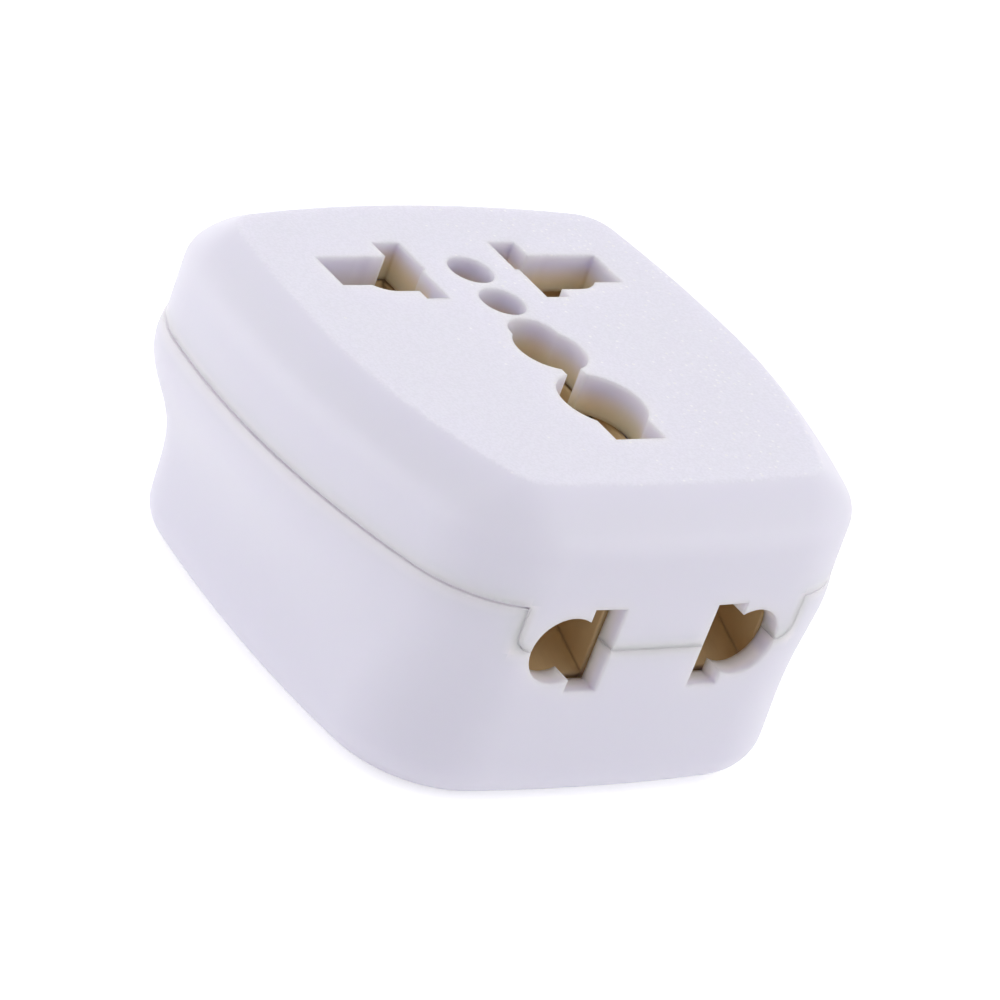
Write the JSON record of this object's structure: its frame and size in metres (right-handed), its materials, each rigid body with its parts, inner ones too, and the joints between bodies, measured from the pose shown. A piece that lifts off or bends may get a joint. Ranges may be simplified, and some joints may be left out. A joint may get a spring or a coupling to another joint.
{
  "type": "universal plug adapter",
  "caption": "White moulded plug adapter with universal socket openings in its face, a side outlet in one end wall and a two-blade plug that folds into its back.",
  "frame": {"origin": "centre of the back face, which the adapter rests on, below the middle of the body", "axes": "+Z out of the socket face, +Y towards the line and neutral openings, -Y towards the side outlet, +X to the neutral side"},
  "size_m": [0.0514, 0.051, 0.0285],
  "materials": {
    "cover_plastic": "fine matt white moulded plastic",
    "housing_plastic": "fine matt white moulded plastic",
    "carrier_plastic": "natural moulded plastic",
    "spindle_plastic": "smooth moulded plastic",
    "contact_brass": "dull rolled strip",
    "blade_metal": "nickel plated brass",
    "spring_steel": "spring strip",
    "screw_steel": "zinc plated"
  },
  "bodies": {
    "adapter": {"front_cover": "cover_plastic", "back_housing": "housing_plastic", "contact_carrier": "carrier_plastic", "spindle_retainer": "carrier_plastic", "friction_spring": "spring_steel", "neutral_contact": "contact_brass", "line_contact": "contact_brass", "side_neutral_contact": "contact_brass", "side_line_contact": "contact_brass", "neutral_wiper": "contact_brass", "line_wiper": "contact_brass", "earth_contact": "contact_brass", "link_rivets": "contact_brass", "wiper_rivets": "contact_brass", "earth_rivets": "contact_brass", "cover_screws": "screw_steel", "retainer_screws": "screw_steel"},
    "plug": {"plug_spindle": "spindle_plastic", "neutral_blade": "blade_metal", "line_blade": "blade_metal"}
  },
  "joints": [
    {"name": "plug_fold", "type": "hinge", "parent": "adapter", "child": "plug", "pos_m": [0, 0.0086, 0.0039], "axis": [1, 0, 0], "range_deg": [0, 90]}
  ]
}
